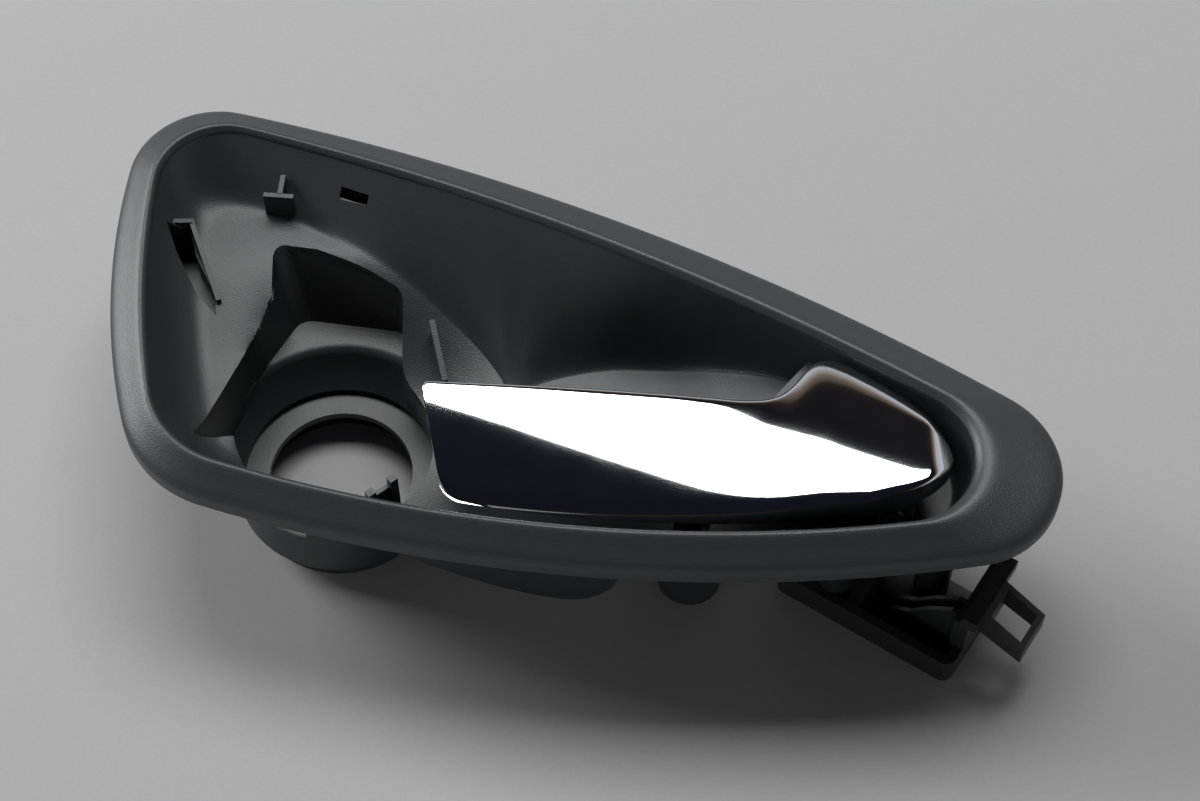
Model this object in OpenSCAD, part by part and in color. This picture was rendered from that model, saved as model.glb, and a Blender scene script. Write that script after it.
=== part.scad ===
// Car interior door handle: a bezel moulding with a speaker pocket, a pull lever on a
// hinge pin, its spring and stops, and the bracket that holds the release cable.
// X runs along the handle, Y across it, Z out of the trim panel. It lies on its back.

/* [Bezel] */
// Distance between the two left corner centres
bezel_left_h = 67; // [55:1:80]
// Distance from the left corners to the tip corner centre
bezel_len = 185; // [165:1:205]
// Height of the bezel crest above the back of the part
crest_z = 56; // [50:0.5:62]
// Drop from the crest to the shoulder of the outer edge
bezel_drop = 4.2; // [3:0.1:6]
// Outer radius of the tip corner
tip_r = 24.8; // [22:0.2:28]
// Moulding thickness
wall = 2.2; // [1.8:0.1:2.8]
// Depth of the finger bowl below the crest
bowl_depth = 31; // [26:0.5:34]

/* [Speaker pocket] */
// Radius of the speaker hole
speaker_r = 19; // [15:0.5:21]
// Width of the flat seat round the speaker hole
seat_w = 6.4; // [5:0.2:8]
// Step from the bowl floor down to the pocket shelf
shelf_step = 3; // [2:0.5:5]
// Step from the shelf down to the speaker seat face
seat_step = 12; // [10:0.5:13]

/* [Lever] */
// Left end of the lever
lever_x0 = -36.2; // [-50:0.2:-25]
// Gap between the lever and the near side of the bezel
lever_gap = 4.2; // [3.5:0.1:6]
// Thickness of the plated shell
plate_t = 1.8; // [1.4:0.1:2.4]
// Slant of the free end of the lever
end_slant = 0.19; // [0:0.01:0.3]

/* [Hinge] */
// Distance from the tip corner centre back to the hinge axis
hinge_in = 14; // [13:0.5:16]
// Depth of the hinge axis below the crest
hinge_drop = 13; // [12:0.5:14]
// Turn of the hinge axis about the vertical, in degrees
hinge_turn = -16; // [-20:1:0]
// Hinge pin diameter
pin_d = 5; // [4:0.2:5.6]
// Running clearance on the radius of the pin
run_clear = 0.05; // [0.03:0.01:0.1]
// Side clearance between lugs and lever
side_clear = 0.3; // [0.2:0.05:0.5]
// Spring wire diameter
wire_d = 1.4; // [1:0.1:1.7]
// Spring turns
turns = 4; // [3:1:5]

/* [Fixings] */
// Shank diameter of the bracket screws
screw_d = 3.5; // [3:0.1:4]
// Bore of the near and far fixing posts
post_bore = 5; // [4:0.2:6]
// Hole for the cable end in the lever arm
nipple_d = 4; // [3:0.2:5]

/* [Hidden] */
$fn = 48;
cA = [-96.9, bezel_left_h / 2 + 18];
cB = [-82.4, -bezel_left_h / 2 + 18.5];
cC = [bezel_len - 89, -38.5];
out_c = [cA, cB, cC];
out_r = [22.6, 32.8, tip_r];
out_s = [196.4, 408.5, 646];
in_c = [cA + [3.3, -4.3], cB + [2.2, 2.7], cC + [-16.4, 2.6]];
in_r = [17, 26.5, tip_r - 5.6];
in_s = [259.4, 387.4, 712.3];
n_corner = 10;
n_side = [5, 12, 13];
K = [-18, -6];
sp = [-62.7, -15.7];
shelf_z = crest_z - bowl_depth - shelf_step;
seat_z = shelf_z - seat_step;
hinge_x = cC[0] - hinge_in;
hinge_y = cC[1] + 3.5;
hinge_z = crest_z - hinge_drop;
tip_in = in_c[2][0] + in_r[2];
lever_x1 = tip_in - 5;
lever_end_r = lever_x1 - hinge_x + 2.6;
brk_a = -33;
brk_o = [cC[0] - 0.7, -72.6];
roll = 1.9;

// Vector and curve helpers
function unit(v) = v / norm(v);
function mix(a, b, t) = a + (b - a) * t;
function clamp(v, a, b) = max(a, min(b, v));
function smooth(t) = let (c = clamp(t, 0, 1)) c * c * (3 - 2 * c);
function ang(v) = atan2(v[1], v[0]);
function wrap(a) = a - 360 * floor(a / 360);
// Centre of the large arc of radius R that is tangent to two corner circles
function side_c(c1, r1, c2, r2, R) = let (
    d = norm(c2 - c1), a = R - r1, b = R - r2,
    x = (a * a - b * b + d * d) / (2 * d), u = (c2 - c1) / d
  ) c1 + u * x + [-u[1], u[0]] * sqrt(a * a - x * x);
function arc_pts(c, r, a0, span, n) = [for (k = [0 : n - 1])
  c + r * [cos(a0 + span * k / n), sin(a0 + span * k / n)]];
// Closed outline of three corner arcs joined by three large tangent arcs
function outline(cs, rs, Rs, d) = let (
    O = [for (i = [0 : 2]) side_c(cs[i], rs[i], cs[(i + 1) % 3], rs[(i + 1) % 3], Rs[i])],
    a0 = [for (i = [0 : 2]) ang(cs[i] - O[i])],
    a1 = [for (i = [0 : 2]) ang(cs[(i + 1) % 3] - O[i])]
  ) [for (i = [0 : 2]) each concat(
      arc_pts(O[i], Rs[i] + d, a0[i], wrap(a1[i] - a0[i]), n_side[i]),
      arc_pts(cs[(i + 1) % 3], rs[(i + 1) % 3] + d, a1[i], wrap(a0[(i + 1) % 3] - a1[i]), n_corner))];
out0 = outline(out_c, out_r, out_s, 0);
out_in = outline(out_c, out_r, out_s, -wall);
inn = outline(in_c, in_r, in_s, 0);
N = len(out0);

// Bezel rings: share of the way from the outer to the inner outline, and height
function rim(w, z) = [for (i = [0 : N - 1]) concat(mix(out0[i], inn[i], w), [z])];
lip_z = crest_z - bezel_drop - 5.3;
rim_top = [[0, -9.4], [0, -5.6], [0.05, -4.3], [0.17, -3.4], [0.42, -2.1], [0.66, -0.75], [0.82, 0], [0.93, -0.5], [1, -roll]];
rim_low = [[0.3, -3.1 - wall], [0.62, -1.2 - wall], [0.8, -0.6 - wall]];

// Bowl surface: how wide its wall is, how deep the floor is, and the height at a ring
function far_side(p) = smooth((p[1] - 8) / 26) * smooth((p[0] + 112) / 22);
function near_tip(p) = smooth((p[0] - cC[0] + 66) / 50);
function wall_w(p) = mix(mix(15, min(38, 0.84 * norm(K - p)), far_side(p)), 5, near_tip(p));
// The far left of the floor rises as a shallow scoop towards the rim
function scoop(x, y) = smooth((y + 6) / 42) * smooth((-2 - x) / 58);
function floor_z(x, y = -20) = crest_z - bowl_depth
  + bowl_depth * mix(0.42 * smooth((-66 - x) / 24), 0.55, scoop(x, y))
  + (bowl_depth - 21) * smooth((x - cC[0] + 78) / 40);
function steps(p) = let (w = wall_w(p), l = norm(K - p) - 3)
  concat([for (t = [0.07, 0.2, 0.4, 0.68, 1]) w * t],
    [for (t = [0.2, 0.42, 0.66, 0.9]) mix(w, l, t)]);
function bowl_pt(i, j) = let (
    p = inn[i], e = steps(p)[j], q = p + unit(K - p) * e, t = min(1, e / wall_w(p)),
    m = mix(mix(2.2, 1.4, far_side(p)), 4, near_tip(p))
  ) [q[0], q[1], crest_z - roll - (crest_z - roll - floor_z(q[0], q[1])) * (1 - pow(1 - t, m))];
n_bowl = 9;
bowl = [for (j = [0 : n_bowl - 1]) [for (i = [0 : N - 1]) bowl_pt(i, j)]];
function bowl_n(i, j) = let (
    a = bowl[j][(i + 1) % N] - bowl[j][(i + N - 1) % N],
    b = bowl[min(j + 1, n_bowl - 1)][i] - (j == 0 ? concat(inn[i], [crest_z - roll]) : bowl[j - 1][i])
  ) unit(cross(a, b));
under = [for (j = [1 : n_bowl - 1]) [for (i = [0 : N - 1]) bowl[j][i] - bowl_n(i, j) * wall]];

// Closed skin over a stack of rings with a point at each end
function skin_pts(rings, a, b) = concat([a], [for (r = rings) each r], [b]);
function skin_faces(n, m) = concat(
  [for (i = [0 : n - 1]) [0, 1 + i, 1 + (i + 1) % n]],
  [for (j = [0 : m - 2]) for (i = [0 : n - 1]) each
    [[1 + j * n + i, 1 + (j + 1) * n + i, 1 + j * n + (i + 1) % n],
     [1 + j * n + (i + 1) % n, 1 + (j + 1) * n + i, 1 + (j + 1) * n + (i + 1) % n]]],
  [for (i = [0 : n - 1]) [1 + (m - 1) * n + i, 1 + m * n, 1 + (m - 1) * n + (i + 1) % n]]);
module skin(rings, a, b) {
  polyhedron(points = skin_pts(rings, a, b), faces = skin_faces(len(rings[0]), len(rings)), convexity = 8);
}
function rev(l) = [for (i = [len(l) - 1 : -1 : 0]) l[i]];

module bowl_shell() {
  top = concat([for (s = rim_top) rim(s[0], crest_z + s[1] * (s[1] < -1 ? bezel_drop / 4.2 : 1))], bowl);
  low = concat([[for (p = out_in) concat(p, [lip_z + 0.1])], [for (p = out_in) concat(p, [lip_z + 3.4])]],
    [for (s = rim_low) rim(s[0], crest_z + s[1])], under);
  skin(concat(rev(low), top), [K[0], K[1], floor_z(K[0]) - wall], [K[0], K[1], floor_z(K[0])]);
}
// Everything below the middle of the bowl skin, to trim walls and posts that join it
module below_bowl() {
  dz = wall * 0.55;
  mid = [for (r = bowl) [for (q = r) q - [0, 0, dz]]];
  skin(concat([rim(0.5, -5), rim(0.5, crest_z - 2 - dz), rim(0.93, crest_z - 2.2 - dz)], mid),
    [K[0], K[1], -5], [K[0], K[1], floor_z(K[0]) - dz]);
}

// Far and left part of the pocket, wider at the top; grown outwards by g
pk_low = [[-74.5, 25.7], [-46.3, 21.6], [-46.3, 5], [-40.5, -4], sp, [-93.5, -13], [-87.5, 2], [-82, 12.5]];
pk_top = [[-80, 37], [-46, 26.3], [-46, 5], [-40.5, -4], sp, [-95, -14], [-88.5, 0], [-83, 14]];
function grow(p, c, g) = p + unit(p - c) * g * 1.25;
module pocket_side(g) {
  c = [-66, 4];
  z0 = shelf_z - g;
  n = len(pk_low);
  lowp = [for (p = pk_low) concat(grow(p, c, g), [z0])];
  topp = [for (k = [0 : n - 1]) concat(grow(mix(pk_low[k], pk_top[k], (crest_z - 4 - z0) / (crest_z - 14 - shelf_z)), c, g), [crest_z - 4])];
  polyhedron(points = concat(lowp, topp), faces = concat([[for (k = [n - 1 : -1 : 0]) k]],
    [[for (k = [0 : n - 1]) n + k]],
    [for (k = [0 : n - 1]) each [[k, (k + 1) % n, n + k], [(k + 1) % n, n + (k + 1) % n, n + k]]]));
}
module speaker_cup(g) {
  rs = speaker_r + seat_w + g;
  top = crest_z - 4 - seat_z + g;
  translate([sp[0], sp[1], seat_z - g]) {
    cylinder(r = rs, h = top, $fn = 96);
    // funnel that opens from the seat to the shelf on the far and left sides
    intersection() {
      rotate_extrude($fn = 96)
        polygon([[0, 1], [rs - 0.8, 1], [rs + 5.6, shelf_z - seat_z], [rs + 5.6, top - 1], [0, top - 1]]);
      translate([-60, -8, -1]) cube([60 + 17.7 + g, 60, 60]);
    }
  }
}
module post(p, r, z0) {
  translate([p[0], p[1], z0]) cylinder(r = r, h = crest_z - 6 - z0);
}
near_post = [29.6, -41];
near_seat = floor_z(near_post[0]) - 3.2;
far_post = [6, 8];
function brk(u, v) = brk_o + u * [cos(brk_a), sin(brk_a)] + v * [-sin(brk_a), cos(brk_a)];
screw_uv = [[-38, 6.6], [-17, 21.6]];
screw_at = [for (p = screw_uv) brk(p[0], p[1])];
boss_z = crest_z - 31;

// Hinge frame: y runs along the hinge axis, z is measured from it
module at_hinge() {
  translate([hinge_x, hinge_y, hinge_z]) rotate([0, 0, hinge_turn]) children();
}
module along(y) {
  translate([0, y, 0]) rotate([-90, 0, 0]) children();
}
lug_t = 3.4;
lug_r = pin_d / 2 + 2.7;
lug_y = [-11.9, 9.7];
ear_y0 = lug_y[0] + lug_t;
to_floor = hinge_z - floor_z(hinge_x);
module lug(y) {
  along(y) cylinder(r = lug_r, h = lug_t);
  translate([-lug_r, y, -to_floor - 1.5]) cube([2 * lug_r, lug_t, to_floor + 1.5]);
}

// Raised ribs, posts and marks of the moulding
stop_at = [hinge_x - 24, cC[1] + 2.5];
stop_z = hinge_z - 1.5;
// Upright plate along the line from a to b, t thick; its bottom and top heights at a and at b
module plate(a, b, t, low_a, low_b, top_a, top_b) {
  l = norm(b - a);
  translate([a[0], a[1], 0]) rotate([90, 0, ang(b - a)]) translate([0, 0, -t / 2]) linear_extrude(t)
    polygon([[0, low_a], [l, low_b], [l, top_b], [0, top_a]]);
}
module small_ribs() {
  difference() {
    union() {
      // upright rib on the bowl floor above the free end of the lever
      plate([-38.2, 15.4], [-34.4, -1], 1.5, crest_z - 26, crest_z - 34, crest_z - 18.5, crest_z - 22.5);
      // T-shaped clip high on the far wall
      translate([-83.4, 46.4, crest_z - 17]) rotate([0, 0, -5]) {
        cube([8, 1.3, 11]);
        translate([3.6, 1, 0]) cube([1.3, 6.4, 11]);
      }
      // clip on the left wall: a short bar, and a leaf that runs down towards the pocket
      plate([-110, 39.4], [-102, 41], 1.3, crest_z - 18, crest_z - 18, crest_z - 7.5, crest_z - 9.5);
      plate([-102.6, 41.4], [-94, 18.6], 1.3, crest_z - 18, crest_z - 20, crest_z - 9.5, crest_z - 14);
      // ledge beside the neck of the lever
      translate([0, 0, hinge_z - 10]) linear_extrude(11.6)
        polygon([for (p = [[-36, 16.5], [-22, 33], [-12, 29], [-4, 25], [4, 19], [3, 16.5]]) [hinge_x, hinge_y] + p]);
    }
    below_bowl();
  }
  // snap tab at the edge of the speaker hole
  translate([sp[0], sp[1], seat_z - 1]) rotate([0, 0, -38]) translate([speaker_r + 1.2, -4, 0]) cube([2, 8, 8]);
  // post under the lever that carries the bump stop
  translate([stop_at[0], stop_at[1], floor_z(stop_at[0]) - 1]) cylinder(r = 4, h = stop_z - floor_z(stop_at[0]) + 1);
}
// Screen under the near side of the bowl
module near_screen() {
  c = side_c(in_c[1], in_r[1], in_c[2], in_r[2], in_s[1]);
  intersection() {
    translate([c[0], c[1], 0]) difference() {
      cylinder(r = in_s[1] - 2.6, h = crest_z, $fn = 720);
      translate([0, 0, -1]) cylinder(r = in_s[1] - 4.6, h = crest_z + 2, $fn = 720);
    }
    translate([0, -40, 0]) rotate([90, 0, 0]) linear_extrude(20)
      polygon([[-50, crest_z - 6], [-50, 26], [-43, 21.8], [-20, 13.4], [-3, 10.4], [3, 12], [9, 18], [12, 27], [12, crest_z - 6]]);
  }
}
module housing() {
  color([0.2, 0.21, 0.22]) difference() {
    union() {
      bowl_shell();
      intersection() {
        below_bowl();
        union() {
          pocket_side(wall);
          speaker_cup(wall);
          post(near_post, post_bore / 2 + 6, 0);
          post(far_post, post_bore / 2 + 4, 0);
          for (p = screw_at) post(p, screw_d / 2 + 2.9, boss_z);
          near_screen();
        }
      }
      translate([sp[0], sp[1], 0]) cylinder(r = speaker_r + 5.5, h = seat_z - 1, $fn = 96);
      at_hinge() for (y = lug_y) lug(y);
      small_ribs();
    }
    difference() {
      union() {
        pocket_side(0);
        speaker_cup(0);
      }
      translate([sp[0], sp[1], seat_z - 1]) rotate([0, 0, -38]) translate([speaker_r + 1.2, -4, 0]) cube([2, 8, 8]);
    }
    translate([sp[0], sp[1], -1]) cylinder(r = speaker_r + 3, h = seat_z - wall + 1, $fn = 96);
    translate([sp[0], sp[1], -1]) cylinder(r = speaker_r, h = seat_z + 2, $fn = 96);
    // slot window in the near wall of the pocket
    translate([sp[0] - 21.8, sp[1] - speaker_r - 13, shelf_z + 1.5]) cube([15.5, 14.5, 4]);
    // slot high on the far wall
    translate([-63.5, 47, crest_z - 8.5]) rotate([0, 0, -18]) cube([8, 8, 2.6]);
    // screw hole of the near post with the seat of the screw head
    translate([near_post[0], near_post[1], -1]) cylinder(d = post_bore, h = crest_z);
    translate([near_post[0], near_post[1], near_seat]) cylinder(d = post_bore + 4.4, h = crest_z);
    translate([far_post[0], far_post[1], -1]) cylinder(d = post_bore, h = 17);
    for (p = screw_at) translate([p[0], p[1], boss_z - 1]) cylinder(d = screw_d, h = 10);
    at_hinge() {
      along(lug_y[0] - 1) cylinder(d = pin_d, h = 40);
      translate([-12.5, ear_y[1] - 0.8, -23]) cube([20, ear_t + 1.6, 22]);
    }
    translate([stop_at[0], stop_at[1], stop_z - 5]) cylinder(r = 1.6, h = 8);
  }
}

// Plan edges and crown of the lever
tip_c = [in_c[2][0], in_c[2][1] - 0.6];
function tip_share(x) = clamp((x - tip_c[0]) / (lever_x1 - tip_c[0]), 0, 1);
function bulge(t, p) = pow(1 - pow(t, p), 1 / p);
function arc_y(i, x, d, up) = let (
    j = (i + 1) % 3, O = side_c(in_c[i], in_r[i], in_c[j], in_r[j], in_s[i]), R = in_s[i] - d
  ) O[1] + up * sqrt(R * R - pow(x - O[0], 2));
function near_arc(x) = arc_y(1, x, lever_gap + 2, -1);
function far_arc(x) = arc_y(2, x, 3, 1);
function near_y(x) = x < tip_c[0] ? near_arc(x)
  : tip_c[1] + (near_arc(tip_c[0]) - tip_c[1]) * bulge(tip_share(x), 1.6);
function hump(x) = 0.12 * smooth((x - hinge_x + 44) / 18) + 0.88 * smooth((x - hinge_x + 32.2) / 15.5);
function far_y(x) = x < tip_c[0] ? mix(-13.8 - 0.086 * (x + 36.2), far_arc(x), hump(x))
  : tip_c[1] + (far_arc(tip_c[0]) - tip_c[1]) * bulge(tip_share(x), 1.5);
skirt_z = hinge_z + lug_r + 0.4;
function crown_z(x) = min(crest_z - 0.5 - 1.2 * smooth((lever_x0 + 45 - x) / 60),
  hinge_z + sqrt(max(0, pow(lever_end_r, 2) - pow(max(0, x - hinge_x), 2))));
function drop(x, v) = (v < 0 ? 4.2 : 2.2 - 1.2 * smooth((x - hinge_x + 32) / 18)) * pow(abs(v), 2.6)
  + 0.9 * pow(abs(v), 14);
function corner_in(d, r) = d < r ? r - sqrt(r * r - (r - d) * (r - d)) : 0;
vs = [-1, -0.965, -0.9, -0.78, -0.6, -0.35, -0.05, 0.25, 0.5, 0.7, 0.84, 0.93, 0.975, 1];
xs = concat([for (d = [0, 0.5, 1.6, 3.2, 5.5]) lever_x0 + d],
  [for (k = [1 : 6]) mix(lever_x0 + 5.5, hinge_x - 40, k / 6)],
  [for (x = [-34.5 : 3.6 : -12]) hinge_x + x],
  [for (k = [1 : 5]) mix(hinge_x - 12.9, lever_x1 - 3.4, k / 5)], [for (d = [2.2, 1.2, 0.5, 0.12]) lever_x1 - d]);
// Cross-section of the lever at x, set in by g on all sides, with its base at height zb
function sect(x, g, zb) = let (
    dx = x - lever_x0, y0 = near_y(x) + corner_in(dx, 5) + g, y1 = far_y(x) - corner_in(dx, 2.2) - g,
    yc = (y0 + y1) / 2, h = max(0.4, (y1 - y0) / 2), k = end_slant * (1 - smooth(dx / 50))
  ) concat([[x - k * h, yc + h, zb], [x + k * h, yc - h, zb]],
    [for (v = vs) [x - k * v * h, yc + v * h, max(zb + 0.3, crown_z(x) - drop(x, v) - g)]]);
module lever_core(g, zb) {
  // stations are squeezed towards the middle of the lever so that the ends are set in too
  k = (lever_x1 - lever_x0 - 2 * g) / (lever_x1 - lever_x0);
  q = [for (x = xs) sect(lever_x0 + g + (x - lever_x0) * k, g, zb)];
  m = len(q[0]);
  n = len(q);
  polyhedron(points = [for (r = q) each r], faces = concat(
    [for (i = [1 : m - 2]) [0, i + 1, i]],
    [for (j = [0 : n - 2]) for (i = [0 : m - 1]) each
      [[j * m + i, j * m + (i + 1) % m, (j + 1) * m + i],
       [j * m + (i + 1) % m, (j + 1) * m + (i + 1) % m, (j + 1) * m + i]]],
    [for (i = [1 : m - 2]) [(n - 1) * m, (n - 1) * m + i, (n - 1) * m + i + 1]]), convexity = 6);
}
module lever_shell() {
  color([0.85, 0.86, 0.88]) difference() {
    lever_core(0, skirt_z);
    lever_core(plate_t, skirt_z - 6);
  }
}

// Carrier under the shell with two hinge ears and the cable arm, in the hinge frame
ear_t = 4.4;
ear_r = pin_d / 2 + 1.9;
ear_y = [ear_y0 + side_clear, lug_y[1] - side_clear - ear_t];
arm_drop = 28;
core_gap = 0.1;
module lever_carrier() {
  color([0.08, 0.08, 0.09]) difference() {
    union() {
      // core that fills the shell down to just above its skirt
      intersection() {
        lever_core(plate_t + core_gap, skirt_z - 6);
        translate([lever_x0 - 5, in_c[2][1] - 60, skirt_z + 0.4]) cube([lever_x1 - lever_x0 + 10, 120, 20]);
      }
      at_hinge() {
        for (y = ear_y) {
          along(y) cylinder(r = ear_r, h = ear_t);
          translate([-ear_r, y, 0]) cube([2 * ear_r, ear_t, skirt_z + 1.4 - hinge_z]);
        }
        translate([-4, ear_y[1], -arm_drop]) cube([8, ear_t, arm_drop]);
        translate([0, 0, -arm_drop]) along(ear_y[1]) cylinder(r = 4, h = ear_t);
      }
    }
    at_hinge() {
      along(ear_y[0] - 1) cylinder(d = pin_d + 2 * run_clear, h = 40);
      translate([0, 0, -arm_drop]) along(ear_y[0] - 1) cylinder(d = nipple_d, h = 40);
      // room for the round lug tops and the coil
      for (y = lug_y) along(y - side_clear) cylinder(r = lug_r + 0.4, h = lug_t + 2 * side_clear);
      along(ear_y[0] + ear_t) cylinder(r = coil_r + wire_d / 2 + 0.3, h = ear_y[1] - ear_y[0] - ear_t);
    }
  }
}

// Hinge pin with its head at the near side, and the clip that holds it
pin_y0 = lug_y[0];
pin_end = lug_y[1] + lug_t + 2;
clip_t = 0.8;
module hinge_pin() {
  color([0.7, 0.71, 0.73]) at_hinge() difference() {
    union() {
      along(pin_y0) cylinder(d = pin_d, h = pin_end - pin_y0);
      along(pin_y0 - 1.4) cylinder(d = pin_d + 2.4, h = 1.4);
    }
    along(lug_y[1] + lug_t) difference() {
      cylinder(d = pin_d + 2, h = clip_t);
      translate([0, 0, -1]) cylinder(d = pin_d - 1.2, h = 3);
    }
  }
}
module pin_clip() {
  color([0.45, 0.46, 0.48]) at_hinge() along(lug_y[1] + lug_t) difference() {
    cylinder(d = pin_d + 3.4, h = clip_t);
    translate([0, 0, -1]) cylinder(d = pin_d - 1.2, h = 3);
    translate([0, -(pin_d - 1.6) / 2, -1]) cube([20, pin_d - 1.6, 3]);
    translate([0, 0, -1]) intersection() {
      cylinder(d = pin_d + 1.4, h = 3);
      translate([-9, -9, 0]) cube([7.2, 18, 3]);
    }
  }
}

// Torsion spring: a coil round the pin, one leg on the cable arm and one on the floor
coil_r = pin_d / 2 + 0.5 + wire_d / 2;
coil_y0 = ear_y[0] + ear_t + 0.4;
pitch = wire_d + 0.1;
ns = 20;
function helix(t) = [coil_r * cos(t), wire_d / 2 + pitch * t / 360, coil_r * sin(t)];
module return_spring() {
  m = 8;
  t0 = -90;
  t1 = t0 + 360 * turns;
  n = turns * ns;
  ring = [for (k = [0 : n]) let (t = mix(t0, t1, k / n), c = helix(t), r = [cos(t), 0, sin(t)])
    [for (i = [0 : m - 1]) c + wire_d / 2 * (r * cos(360 * i / m) + [0, 1, 0] * sin(360 * i / m))]];
  color([0.55, 0.56, 0.58]) at_hinge() translate([0, coil_y0, 0]) {
    polyhedron(points = concat([helix(t0)], [for (r = ring) each r], [helix(t1)]),
      faces = skin_faces(m, n + 1), convexity = 10);
    // leg that bears on the bowl floor, towards the tip
    translate(helix(t0) - [1, 0, 0]) rotate([0, 90, 0]) cylinder(d = wire_d, h = 7);
    // leg that crosses behind the cable arm
    translate(helix(t1) + [0.6, 0, 0]) rotate([0, -90, 0]) cylinder(d = wire_d, h = 5.6 + wire_d / 2);
    translate(helix(t1) - [5, 0, 0]) rotate([-90, 0, 0])
      cylinder(d = wire_d, h = ear_y[1] + ear_t * 0.7 - coil_y0 - helix(t1)[1]);
  }
}

// Rubber bump stop under the lever
module bump_stop() {
  color([0.05, 0.05, 0.05]) translate([stop_at[0], stop_at[1], stop_z]) {
    cylinder(r = 3.8, h = skirt_z + 0.4 - stop_z);
    translate([0, 0, -4.6]) cylinder(r = 1.6, h = 5);
  }
}

// Cable bracket, in its own turned frame: u along the side wall, v along the end wall
module at_brk() {
  translate([brk_o[0], brk_o[1], 0]) rotate([0, 0, brk_a]) children();
}
tray_h = 9.5;
bar_top = boss_z;
hoop_v = 9.4;
hoop_w = 12.2;
module cable_bracket() {
  color([0.24, 0.24, 0.24]) at_brk() difference() {
    union() {
      // tray with its near wall and rounded outer corner
      linear_extrude(2.4) offset(r = 3) translate([-49, 3]) square([46, 20]);
      difference() {
        linear_extrude(tray_h) offset(r = 3) translate([-49, 3]) square([46, 20]);
        translate([0, 0, -1]) linear_extrude(tray_h + 2) offset(r = 0.8) translate([-48.8, 3.2]) square([45.6, 19.6]);
        translate([-60, 8, 2.4]) cube([56, 30, 30]);
      }
      // end wall and the bar on top of it
      translate([-4, 6.2, 0]) cube([4, 20, bar_top - 3]);
      translate([-2.1, 6.2, bar_top - 4]) cube([4.1, 22, 4]);
      translate([-2.6, 6.2, bar_top - 12]) cube([2.6, 22, 10]);
      for (p = screw_uv) translate([p[0], p[1], 0]) cylinder(r = screw_d / 2 + 2.9, h = boss_z);
      // thin ribs that brace the bar
      for (v = [9.5, 13.2]) translate([0, v, 0]) rotate([90, 0, 0]) linear_extrude(1.2)
        polygon([[-30, 1], [-3, 1], [-1.2, bar_top - 3], [-6, bar_top - 3.4], [-12, 16], [-17, tray_h]]);
      translate([-30, 1, 0]) cube([1.4, 22, tray_h]);
      // hoop for the cable housing, sloping down away from the bar
      translate([0, hoop_v + hoop_w, bar_top]) rotate([90, 0, 0]) difference() {
        linear_extrude(hoop_w)
          polygon([[-1, -8], [-1, -0.5], [2, 0], [14.2, -6.2], [14.2, -12.6], [11, -11.4], [2, -8]]);
        translate([3.6, -20, 1.6]) cube([9, 30, hoop_w - 3.2]);
      }
    }
    for (p = screw_uv) {
      translate([p[0], p[1], -1]) cylinder(d = screw_d + 0.3, h = boss_z + 2);
      translate([p[0], p[1], -1]) cylinder(r = screw_d / 2 + 1.9, h = 1 + 3);
    }
    translate([-46, 12, -1]) cube([7, 9, 5]);
  }
}
module bracket_screws() {
  color([0.6, 0.6, 0.58]) for (p = screw_at) translate([p[0], p[1], 0]) difference() {
    union() {
      translate([0, 0, 0.6]) cylinder(r = screw_d / 2 + 1.6, h = 2.4);
      translate([0, 0, 2.5]) cylinder(d = screw_d, h = boss_z + 8 - 2.5);
    }
    translate([0, 0, 0]) cylinder(r = 1.3, h = 2, $fn = 6);
  }
}

housing();
lever_shell();
lever_carrier();
hinge_pin();
pin_clip();
return_spring();
bump_stop();
cable_bracket();
bracket_screws();
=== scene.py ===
import math

import bmesh
import bpy
import numpy as np
from mathutils import Matrix, Vector


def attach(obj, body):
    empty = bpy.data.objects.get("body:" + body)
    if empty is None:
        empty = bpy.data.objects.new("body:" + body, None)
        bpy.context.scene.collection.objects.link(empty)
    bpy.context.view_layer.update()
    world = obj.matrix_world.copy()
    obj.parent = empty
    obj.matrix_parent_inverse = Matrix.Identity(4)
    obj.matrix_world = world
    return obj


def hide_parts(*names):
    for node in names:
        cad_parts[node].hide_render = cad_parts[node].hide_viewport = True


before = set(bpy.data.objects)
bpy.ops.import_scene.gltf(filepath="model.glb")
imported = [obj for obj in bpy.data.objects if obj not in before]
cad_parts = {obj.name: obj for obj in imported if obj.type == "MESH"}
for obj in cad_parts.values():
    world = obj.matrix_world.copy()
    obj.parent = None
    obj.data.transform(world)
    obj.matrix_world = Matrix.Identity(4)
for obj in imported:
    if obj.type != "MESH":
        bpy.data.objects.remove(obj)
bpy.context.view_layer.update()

MM = 0.001
scene = bpy.context.scene
scene.view_settings.view_transform = "Standard"

# Camera
# A long lens looks down on the handle from its near side, from 58 degrees above the
# table, and frames it as a catalogue picture does.
CAM_TARGET = Vector((6.1, -20.7, 55)) * MM
CAM_ELEVATION = math.radians(58)
CAM_DISTANCE = 640 * MM
CAM_LENS = 76.8
CAM_SENSOR = 36

camera = bpy.data.objects.new("camera", bpy.data.cameras.new("camera"))
scene.collection.objects.link(camera)
camera.data.lens = CAM_LENS
camera.data.sensor_width = CAM_SENSOR
camera_way = Vector((0, -math.cos(CAM_ELEVATION), math.sin(CAM_ELEVATION)))
camera.location = CAM_TARGET + CAM_DISTANCE * camera_way
camera.rotation_euler = (math.pi / 2 - CAM_ELEVATION, 0, 0)
scene.camera = camera


# Table and light
# A sheet of matt grey card lies on a table. A large soft panel above and beyond the handle is
# the main light, and the plated lever mirrors it as a white band. A window far left adds a
# side light.
def srgb(hex_colour):
    """Linear RGBA of an sRGB hex colour."""
    channels = [int(hex_colour[i : i + 2], 16) / 255 for i in (1, 3, 5)]
    return [c / 12.92 if c <= 0.04045 else ((c + 0.055) / 1.055) ** 2.4 for c in channels] + [1.0]


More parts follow.
